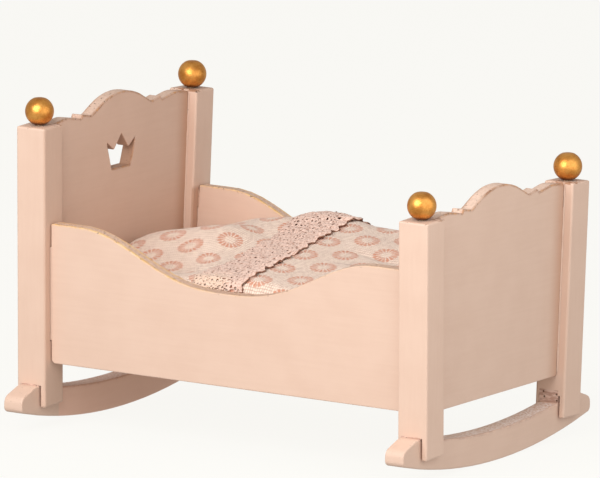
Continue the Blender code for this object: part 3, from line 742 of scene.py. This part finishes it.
def stuffed_pad(name, bottom, depth, puff, folds=None):
    """Two sheets sewn together, blown up, folded and kept inside the room between the rails.

    Returns the finished mesh and the grid of its upper sheet. The points of the lower sheet's
    edge aren't used, because the seam takes the upper sheet's.
    """
    u, v = np.meshgrid(np.linspace(-1, 1, PAD_COLUMNS), np.linspace(-1, 1, PAD_ROWS), indexing="ij")
    sheets = [sheet_places(u, v, bottom, depth, upper) for upper in (True, False)]
    rest = np.concatenate([sheet.reshape(-1, 3) for sheet in sheets])
    cloth = np.concatenate([np.stack((travelled(sheet, 0), travelled(sheet, 1)), -1) for sheet in sheets])
    faces = pad_faces()
    inside = np.zeros((PAD_COLUMNS, PAD_ROWS), bool)
    inside[1:-1, 1:-1] = True
    used = np.concatenate((np.ones(ONE_SHEET, bool), inside.reshape(-1)))
    places = blown_up(rest, faces, used, puff)
    if folds:
        places[:ONE_SHEET, 2] += folds(rest[:ONE_SHEET])
    room = half_width(places[:, 2])
    places[:, 1] = np.clip(places[:, 1], -room, room)
    places[:, 0] = np.clip(places[:, 0], -HALF_LONG, HALF_LONG)
    places[:, 2] = np.maximum(places[:, 2], bottom)
    count = np.cumsum(used) - 1
    mesh = new_mesh(name, places[used].tolist(), count[faces].tolist())
    corners = faces.reshape(2, -1).copy()
    corners[1, corners[1] < ONE_SHEET] += ONE_SHEET
    lay_cloth(mesh, cloth.reshape(-1, 2)[corners.reshape(-1)])
    return mesh, places[:ONE_SHEET].reshape(PAD_COLUMNS, PAD_ROWS, 3)


CLOTH_PALE, CLOTH_SHADE = colour(0.920, 0.735, 0.610), colour(0.54, 0.345, 0.265)
WARP, WEFT = 0.00088, 0.00120
SLUB_SIZE, CLOTH_DEPTH = 0.0016, 0.0002


def matt_cotton(shader):
    """The finish of undyed cotton: matt, with a faint sheen of loose fibres."""
    hold(shader, {"Roughness": 0.9, "Specular IOR Level": 0.15, "Sheen Weight": 0.2, "Sheen Roughness": 0.5})


def woven_cotton(name, printed=None):
    """Coarse plain weave of uneven threads, to which printed may add its colours.

    Each crossing of threads is a cell with its own lightness, darker at its edges, and every
    second one is a little darker.
    """
    material, shader, start = new_material(name)
    cloth = start.node("UVMap", {}, uv_map="cloth")
    x, y, _ = cloth.parts()
    slub = cloth.noise(SLUB_SIZE, 2.0)
    warp, weft = x / WARP + slub * 0.5, y / WEFT + slub * 0.5
    warp_number, weft_number = warp.whole(), weft.whole()
    uneven = warp_number.chance(weft_number)
    pits = abs(warp - warp_number - 0.5).most(abs(weft - weft_number - 0.5)).ease(0.28, 0.5)
    over = start.math("PINGPONG", warp_number + weft_number, 1.0)
    tone = uneven * 0.44 + pits * 0.80 + over * 0.12 + slub * 0.06
    ground = tone.ease(0.27, 1.34).mix(CLOTH_PALE, CLOTH_SHADE)
    if printed:
        ground = printed(ground, x, y, slub, uneven, pits)
    feed(ground, shader, "Base Color")
    feed((uneven * 0.3 - pits + slub * 0.4).bump(0.6, CLOTH_DEPTH), shader, "Normal")
    matt_cotton(shader)
    return material


def smooth_once(piece):
    """Subdivides a piece's mesh once, in view as in the render."""
    smooth = piece.modifiers.new("smooth", "SUBSURF")
    smooth.levels = 1
    smooth.render_levels = 1


mattress_mesh, _ = stuffed_pad("mattress_cover", MATTRESS_BOTTOM, mattress_depth, MATTRESS_PUFF)
plain_cotton = woven_cotton("plain cotton")
mattress = new_piece("mattress_cover", mattress_mesh, "mattress", plain_cotton)
smooth_once(mattress)
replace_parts(mattress, "mattress")


# The duvet is a stuffed cover of the same cotton, printed with rings of drops, which lies
# loose on the mattress. It is thin at the head, fuller to the rear, and falls to the foot.
DUVET_BOTTOM, DUVET_DEPTH, DUVET_PUFF = 0.046274, 0.0110, 0.0007
REAR_RISE, REAR_DROP, ROLL_RISE, FOOT_FALL = 0.0110, 0.0040, 0.0012, 0.0055
FULL_AT, ROLL_AT, RIDGE_AT = -0.27, 0.04, 0.62
HEAD_POWER, FOOT_POWER = 2.0, 1.2
DOME_RISE, DOME_AT, DOME_WIDTH = 0.0050, 0.12, 0.28
HOLLOW_DEPTH, HOLLOW_AT, HOLLOW_WIDTH = 0.0033, -0.55, 0.21
DOME_SHARES = (-1.08, -0.74, -0.50, -0.27)
FOLDS = ((-0.034, -0.030, -0.022, -0.020, 0.0016, -0.0008),
         (-0.056, -0.034, -0.030, -0.026, 0.0030, -0.0006),
         (0.018, 0.005, 0.046, 0.001, 0.0014, -0.0009),
         (0.012, 0.016, 0.050, 0.010, 0.0050, 0.0007),
         (0.020, -0.012, 0.058, -0.010, 0.0045, 0.0009),
         (-0.030, 0.020, -0.020, 0.012, 0.0035, -0.0008),
         (0.030, -0.030, 0.062, -0.024, 0.0030, 0.0005))
PRINT, CREASE_SHADE = colour(0.66, 0.27, 0.165), colour(0.34, 0.19, 0.13)
MOTIF_WIDE, MOTIF_LONG, PETALS = 0.0118, 0.0150, 16
RING_IN, RING_OUT = 0.0018, 0.0047
DROP_WIDTH, DROP_GROWS = 0.23, 0.17
CREASE_AT, CREASE_WANDER, CREASE_EDGE = 0.0095, 0.0024, (0.0001, 0.0006)
CREASE_STARTS, CREASE_ENDS = (0.015, 0.026), (0.050, 0.062)
SWELL, RIPPLE = 0.00022, 0.00015


def duvet_dome(x, y):
    """The head part's dome exp(-((y - at) / width)^2) along the middle, less a hollow in front."""
    start, full, fading, end = DOME_SHARES
    there = np.sin(math.pi / 2 * passed(x, start, full)) * np.cos(math.pi / 2 * passed(x, fading, end))
    rise = DOME_RISE * np.exp(-((y - DOME_AT) / DOME_WIDTH) ** 2)
    hollow = HOLLOW_DEPTH * np.exp(-((y - HOLLOW_AT) / HOLLOW_WIDTH) ** 2)
    return (rise - hollow) * there ** 2


def duvet_depth(x, y):
    """Thin at the head, climbing to a ridge near the rear, fullest at the lace.

    The climb is a power of the way from front to ridge, times a sine swell from the head.
    """
    swell = np.sin(math.pi / 2 * passed(x, -1, FULL_AT)) ** 2
    roll = passed(x, FULL_AT, ROLL_AT)
    climb = REAR_RISE * passed(y, -1, RIDGE_AT) ** (HEAD_POWER + (FOOT_POWER - HEAD_POWER) * roll)
    climb = climb - REAR_DROP * passed(y, RIDGE_AT, 1) ** 2
    body = DUVET_DEPTH + climb * swell + ROLL_RISE * roll - FOOT_FALL * passed(x, ROLL_AT, 1)
    return body + duvet_dome(x, y)


def duvet_folds(rest):
    """Soft folds as ridges exp(-(d / w)^2) along lines across the duvet, with gentle swells.

    A row of FOLDS is the x and y of a line's two ends, its width w and its height. The swells
    are a product of sines of x and y and the ripples a sine of both, and all of it fades out
    towards the rails.
    """
    x, y = rest[:, 0], rest[:, 1]
    lift = np.zeros(len(x))
    for from_x, from_y, to_x, to_y, wide, high in FOLDS:
        run = np.array((to_x - from_x, to_y - from_y))
        length = np.hypot(*run)
        away = ((x - from_x) * run[1] - (y - from_y) * run[0]) / length
        along = ((x - from_x) * run[0] + (y - from_y) * run[1]) / length ** 2
        ends = np.exp(-(np.maximum(0, np.abs(along - 0.5) - 0.35) / 0.2) ** 2)
        lift += high * np.exp(-(away / wide) ** 2) * ends
    lift += SWELL * np.sin(x / 0.0061 + 1.3 * np.sin(y / 0.009)) * np.sin(y / 0.0073 + 0.9)
    lift += RIPPLE * np.sin(x / 0.0034 + y / 0.0047 + 0.4)
    return lift * passed(1.02 - np.abs(y) / half_width(rest[:, 2]), 0.0, 0.12)


def rings_of_drops(ground, x, y, slub, uneven, pits):
    """The print, rings of sixteen drops in a half-drop repeat, and painted shade along one fold of the cloth.

    A drop is where the angle round its motif is within a width that grows towards the
    outside. Each motif is turned by chance.
    """
    column = x / MOTIF_WIDE
    place = column.whole()
    row = y / MOTIF_LONG + (place * 0.5).fraction()
    level = row.whole()
    across, along = (column - place - 0.5) * MOTIF_WIDE, (row - level - 0.5) * MOTIF_LONG
    out = x.math("SQRT", across * across + along * along)
    angle = x.math("ARCTAN2", along, across) / math.tau + place.chance(level)
    petal = abs((angle * PETALS).fraction() - 0.5)
    grown = (out - RING_IN) / (RING_OUT - RING_IN)
    width = DROP_WIDTH + grown.ease(0.0, 0.8) * DROP_GROWS
    inside = grown.ease(0.0, 0.14) * (1.0 - (grown + petal * petal * 0.9).ease(0.94, 1.08))
    inked = (1.0 - (petal / width).ease(0.82, 1.12)) * inside * (1.05 - pits * 0.30 - uneven * 0.28)
    # Painted shade along one fold near the foot.
    off_crease = abs(y - slub * CREASE_WANDER + CREASE_AT)
    crease_shade = (1.0 - off_crease.ease(*CREASE_EDGE)) * x.ease(*CREASE_STARTS) * (1.0 - x.ease(*CREASE_ENDS))
    return (crease_shade * 0.6).mix(inked.least(1.0).mix(ground, PRINT), CREASE_SHADE)


duvet_mesh, duvet_top = stuffed_pad("duvet_cover", DUVET_BOTTOM, duvet_depth, DUVET_PUFF, duvet_folds)
duvet_cotton = woven_cotton("printed cotton", rings_of_drops)
duvet = new_piece("duvet_cover", duvet_mesh, "duvet", duvet_cotton)
smooth_once(duvet)
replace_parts(duvet, "duvet")


# The lace is a crocheted cotton band laid across the duvet, with its head edge close to the
# cloth. Its foot edge is a closer, scalloped hem that stands a little off the cloth.
LACE_HEAD_X, LACE_FOOT_X = -0.0199, 0.0030
LACE_WIDE, LACE_LONG = 0.023, 0.086
LACE_REACH = 0.925
LACE_ROWS, LACE_COLUMNS, HEM_ROWS = 15, 57, 2
MESH_POINTS = 16
CORD_RISE = 0.00020
LACE_DEPTH = 0.00045
LACE_OFF, HEM_OFF, FRONT_OFF = 0.00036, 0.00042, 0.0006
LACE_CHANCE = 11
HOLE, HOLE_SPREAD, HOLE_SHIFT, HEM_HOLE = 0.14, 0.12, 0.26, 0.02
SMALL_HOLES, SMALL_SHARE = 0.12, 0.35
CORD_AT = 0.58
RING_RISES, RING_DEPTHS, HEM_DEPTH = (0.2, 1.0, 0.3), (0.25, 0.0, 0.78), 0.1
SCALLOP, SCALLOPS = 0.0007, 17
HEAD_WAVE, HEAD_WAVES = 0.0003, 31
PUCKERS = (0.00022, 0.00016, 0.00012)
CREST, CREST_AT, CREST_WIDE = 0.0021, 0.68, 0.24
MERGE_WITHIN = 0.000002
LACE_PALE, LACE_DEEP = colour(0.87, 0.63, 0.53), colour(0.55, 0.33, 0.25)
# The hole colour is painted shade in the holes and under the hem.
LACE_CREAM, LACE_HOLE_SHADE = colour(0.90, 0.68, 0.48), colour(0.24, 0.10, 0.055)
CREAM_ALONG, CREAM_ACROSS = (0.004, 0.015), (0.010, 0.018)
YARN, YARN_TONE, YARN_DEPTH = 0.00022, 0.0007, 0.00015


def laid_on(sheet, u, v, lift):
    """Points at (u, v) of a sheet's grid, raised by lift along its normals, between its points."""
    slope_u, slope_v = np.gradient(sheet, axis=0), np.gradient(sheet, axis=1)
    normals = np.cross(slope_u, slope_v)
    normals = normals / np.linalg.norm(normals, axis=-1, keepdims=True)
    both = np.concatenate((sheet, normals), axis=-1)
    columns, rows = sheet.shape[:2]
    at_u = np.clip((u + 1) / 2 * (columns - 1), 0, columns - 1.001)
    at_v = np.clip((v + 1) / 2 * (rows - 1), 0, rows - 1.001)
    i, j = at_u.astype(int), at_v.astype(int)
    a, b = (at_u - i)[..., None], (at_v - j)[..., None]
    found = ((both[i, j] * (1 - b) + both[i, j + 1] * b) * (1 - a)
             + (both[i + 1, j] * (1 - b) + both[i + 1, j + 1] * b) * a)
    return found[..., :3] + found[..., 3:] * lift[..., None]


def crocheted_cells(row):
    """Three rings of points of each cell in its own square: the square, a raised cord and a hole.

    A hole is a circle of a size and a place by chance, and its cord lies CORD_AT of the way
    to it from the square. The hem's holes are all but closed.
    """
    chance = np.random.default_rng(LACE_CHANCE)
    side = np.arange(MESH_POINTS // 4) / (MESH_POINTS // 4)
    square = np.concatenate((np.stack((side, 0 * side), -1), np.stack((0 * side + 1, side), -1),
                             np.stack((1 - side, 0 * side + 1), -1), np.stack((0 * side, 1 - side), -1)))
    square = square - 0.5
    spoke = square / np.linalg.norm(square, axis=1, keepdims=True)
    hole = HOLE + HOLE_SPREAD * chance.random(row.shape)
    hole = np.where(chance.random(row.shape) < SMALL_HOLES, hole * SMALL_SHARE, hole)
    hole = np.where(row < LACE_ROWS - HEM_ROWS, hole, HEM_HOLE)
    shift = (chance.random((len(row), 1, 2)) - 0.5) * HOLE_SHIFT
    rim = spoke * hole[..., None] + shift
    cord = square * (1 - CORD_AT) + rim * CORD_AT
    return np.stack((np.broadcast_to(square, rim.shape), cord, rim), axis=1)


def loosened(across, along):
    """The band's two parameters moved by sines of both, so that no row of cells runs straight."""
    inside_across = passed(across, 0, 0.1) * passed(1 - across, 0, 0.1)
    inside_along = passed(along, 0, 0.03) * passed(1 - along, 0, 0.03)
    sway = 0.45 / LACE_ROWS * np.sin(along * 97 + 2 * np.sin(across * 11))
    drift = 0.35 / LACE_COLUMNS * np.sin(across * 23 + along * 61)
    return across + sway * inside_across, along + drift * inside_along


def lace_lift(across, along, wave):
    """How far the band stands off the duvet.

    Sines of both parameters pucker it, most at the hem. The hem rises with the square of the
    way to its edge, a bell-shaped crest stands to the rear, and the front end is raised.
    """
    middle = 2 * along - 1
    hem = passed(across, 0.70, 1.0)
    pucker = (PUCKERS[0] * np.sin(math.tau * (along * 13 + 0.35 * np.sin(across * 5)))
              + PUCKERS[1] * np.sin(math.tau * (along * 23 + across * 1.7))
              + PUCKERS[2] * np.sin(math.tau * (along * 37 - across * 4.1)))
    crest = np.exp(-((middle - CREST_AT) / CREST_WIDE) ** 2) * np.sin(math.pi * np.clip(across, 0, 1))
    front = passed(-middle, 0.90, 1.0) ** 2
    edge = HEM_OFF * hem ** 2 * (1 + 0.45 * wave)
    return LACE_OFF + edge + pucker * (0.5 + hem) + CREST * crest + FRONT_OFF * front


def lace_mesh(sheet):
    """A net of cells, each a square with a round hole, every second row half a cell along.

    The band's two parameters run across it from its head edge to its scalloped hem and along
    it from front to rear, and are carried onto the sheet. The attribute depth is 0 on the
    cords, rises towards the holes and is over 1 at the hem's edge; the material paints shade
    by it, dark brown in the holes and under the hem.
    """
    row, column = np.meshgrid(np.arange(LACE_ROWS), np.arange(LACE_COLUMNS), indexing="ij")
    row, column = row.reshape(-1, 1), column.reshape(-1, 1)
    rings = crocheted_cells(row)
    row, column = row[..., None], column[..., None]
    across = (row + 0.5 + rings[..., 0]) / LACE_ROWS
    along = (column + 0.25 + 0.5 * (row % 2) + 0.5 + rings[..., 1]) / (LACE_COLUMNS + 1)
    across, along = loosened(across, along)
    wave = np.cos(math.tau * SCALLOPS * along + 0.8 * np.sin(9 * along))
    small = np.cos(math.tau * SCALLOPS * 3 * along)
    foot = LACE_FOOT_X + SCALLOP * (wave + small / 5) * across ** 3
    head = LACE_HEAD_X + HEAD_WAVE * np.cos(math.tau * HEAD_WAVES * along)
    u = (head + (foot - head) * across) / HALF_LONG / ((1 - END_SHOULDER) / TURN_FROM)
    v = (2 * along - 1) * LACE_REACH
    cords = np.array(RING_RISES).reshape(1, 3, 1) * CORD_RISE
    points = laid_on(sheet, u, v, lace_lift(across, along, wave) + cords)
    depth = np.array(RING_DEPTHS).reshape(1, 3, 1) * np.where(row < LACE_ROWS - HEM_ROWS, 1.0, HEM_DEPTH)
    depth = np.maximum(depth, passed(across, 0.985, 1.0) * 1.1)
    number = np.arange(depth.size).reshape(depth.shape)
    ahead = np.roll(number, -1, axis=2)
    faces = np.stack((number[:, :2], ahead[:, :2], ahead[:, 1:], number[:, 1:]), -1).reshape(-1, 4)
    mesh = new_mesh("lace_band", points.reshape(-1, 3).tolist(), faces.tolist())
    cloth = np.stack((across * LACE_WIDE, along * LACE_LONG), -1).reshape(-1, 2)
    lay_cloth(mesh, cloth[faces.reshape(-1)])
    mark_points(mesh, "depth", depth.reshape(-1))
    joined = bmesh.new()
    joined.from_mesh(mesh)
    bmesh.ops.remove_doubles(joined, verts=joined.verts, dist=MERGE_WITHIN)
    joined.to_mesh(mesh)
    joined.free()
    return mesh


lace_yarn, lace_shader, start = new_material("crocheted cotton")
cloth = start.node("UVMap", {}, uv_map="cloth")
across, along, _ = cloth.parts()
fibre = cloth.noise(YARN, 2.0)
tone = cloth.noise(YARN_TONE, 2.0)
yarn = (fibre * 0.3 + tone * 0.7).ease(0.30, 0.60).mix(LACE_DEEP, LACE_PALE)
creamy = (1.0 - along.ease(*CREAM_ALONG)) * (1.0 - across.ease(*CREAM_ACROSS))
yarn = (creamy * 0.36).mix(yarn, LACE_CREAM)
# Painted shade in the holes and under the hem, by the attribute depth.
hole_shade = start.node("Attribute", {}, 2, attribute_name="depth")
feed((hole_shade.ease(0.35, 0.95) * 0.95).mix(yarn, LACE_HOLE_SHADE), lace_shader, "Base Color")
feed(fibre.bump(0.7, YARN_DEPTH), lace_shader, "Normal")
matt_cotton(lace_shader)

lace = new_piece("lace_band", lace_mesh(duvet_top), "duvet", lace_yarn)
thick = lace.modifiers.new("thickness", "SOLIDIFY")
thick.thickness = LACE_DEPTH
thick.offset = -1.0
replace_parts(lace, "lace_trim")
